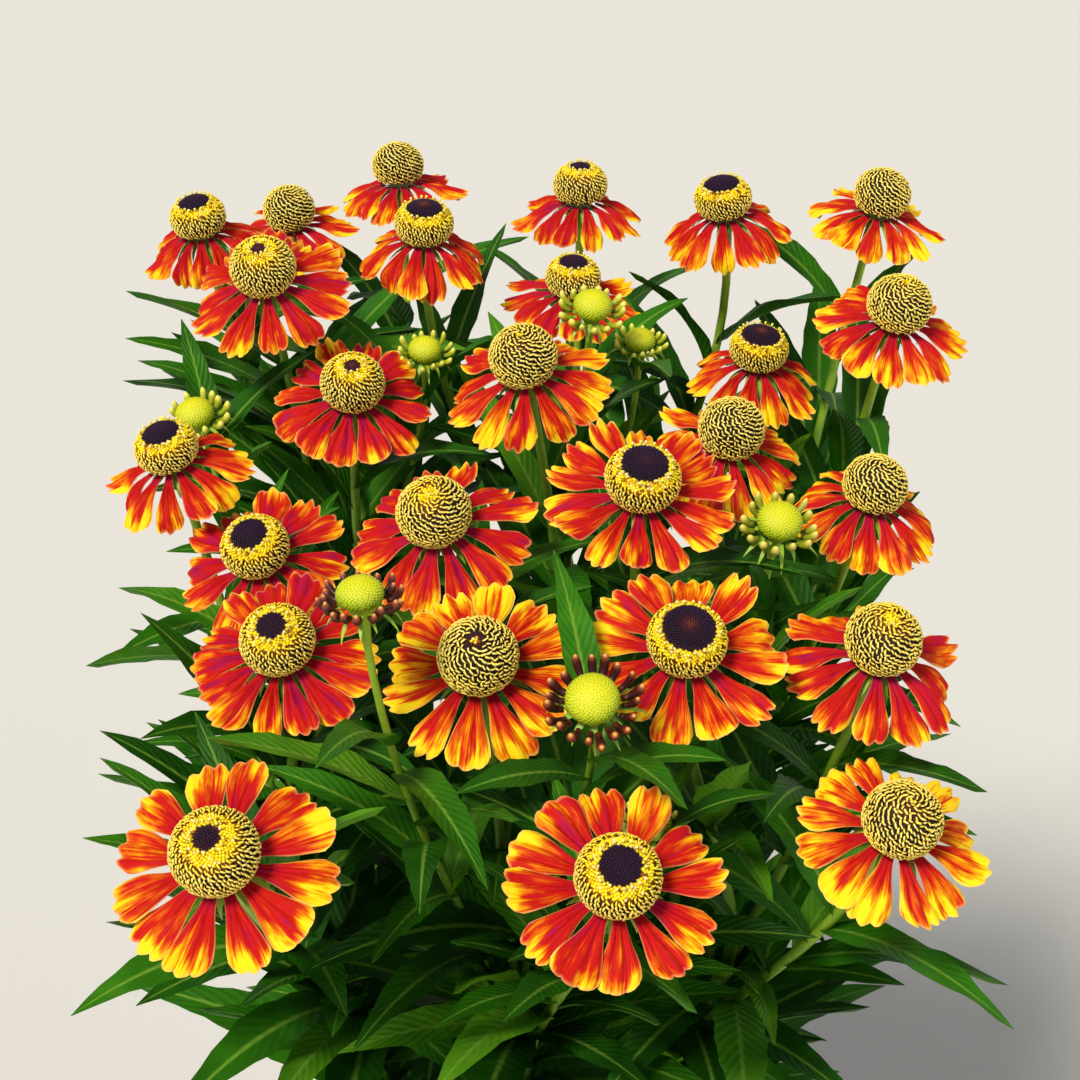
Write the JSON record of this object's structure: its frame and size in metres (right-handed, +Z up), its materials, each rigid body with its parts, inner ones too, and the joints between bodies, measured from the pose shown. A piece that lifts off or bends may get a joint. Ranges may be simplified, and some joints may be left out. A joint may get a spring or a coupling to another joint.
{
  "type": "potted sneezeweed",
  "caption": "Flowering sneezeweed in a plain clay pot: leafy branching stems under red and gold daisy heads with globe-shaped brown and yellow discs, and round lime buds.",
  "frame": {"origin": "middle of the pot's foot, on the surface it stands on", "axes": "+Z up along the stems, -Y towards the viewer of the picture, +X to that viewer's right"},
  "size_m": [0.3022, 0.418, 0.655],
  "materials": {
    "terracotta": "matt, unglazed",
    "compost": "rough, crumbly",
    "greenery": "satin leaf",
    "ray_florets": "velvety petal",
    "disc_florets": "matt, grainy"
  },
  "bodies": {
    "root": {"pot": "terracotta", "potting_soil": "compost", "leafy_stem_1": "greenery", "leafy_stem_2": "greenery", "leafy_stem_3": "greenery", "leafy_stem_4": "greenery", "leafy_stem_5": "greenery", "leafy_stem_6": "greenery", "bloom_01_rays": "ray_florets", "bloom_02_rays": "ray_florets", "bloom_03_rays": "ray_florets", "bloom_04_rays": "ray_florets", "bloom_05_rays": "ray_florets", "bloom_06_rays": "ray_florets", "bloom_07_rays": "ray_florets", "bloom_08_rays": "ray_florets", "bloom_09_rays": "ray_florets", "bloom_10_rays": "ray_florets", "bloom_11_rays": "ray_florets", "bloom_12_rays": "ray_florets", "bloom_13_rays": "ray_florets", "bloom_14_rays": "ray_florets", "bloom_15_rays": "ray_florets", "bloom_16_rays": "ray_florets", "bloom_17_rays": "ray_florets", "bloom_18_rays": "ray_florets", "bloom_19_rays": "ray_florets", "bloom_20_rays": "ray_florets", "bloom_21_rays": "ray_florets", "bloom_22_rays": "ray_florets", "bloom_23_rays": "ray_florets", "bloom_24_rays": "ray_florets", "bloom_25_rays": "ray_florets", "bloom_26_rays": "ray_florets", "bloom_01_disc": "disc_florets", "bloom_02_disc": "disc_florets", "bloom_03_disc": "disc_florets", "bloom_04_disc": "disc_florets", "bloom_05_disc": "disc_florets", "bloom_06_disc": "disc_florets", "bloom_07_disc": "disc_florets", "bloom_08_disc": "disc_florets", "bloom_09_disc": "disc_florets", "bloom_10_disc": "disc_florets", "bloom_11_disc": "disc_florets", "bloom_12_disc": "disc_florets", "bloom_13_disc": "disc_florets", "bloom_14_disc": "disc_florets", "bloom_15_disc": "disc_florets", "bloom_16_disc": "disc_florets", "bloom_17_disc": "disc_florets", "bloom_18_disc": "disc_florets", "bloom_19_disc": "disc_florets", "bloom_20_disc": "disc_florets", "bloom_21_disc": "disc_florets", "bloom_22_disc": "disc_florets", "bloom_23_disc": "disc_florets", "bloom_24_disc": "disc_florets", "bloom_25_disc": "disc_florets", "bloom_26_disc": "disc_florets"}
  },
  "joints": []
}
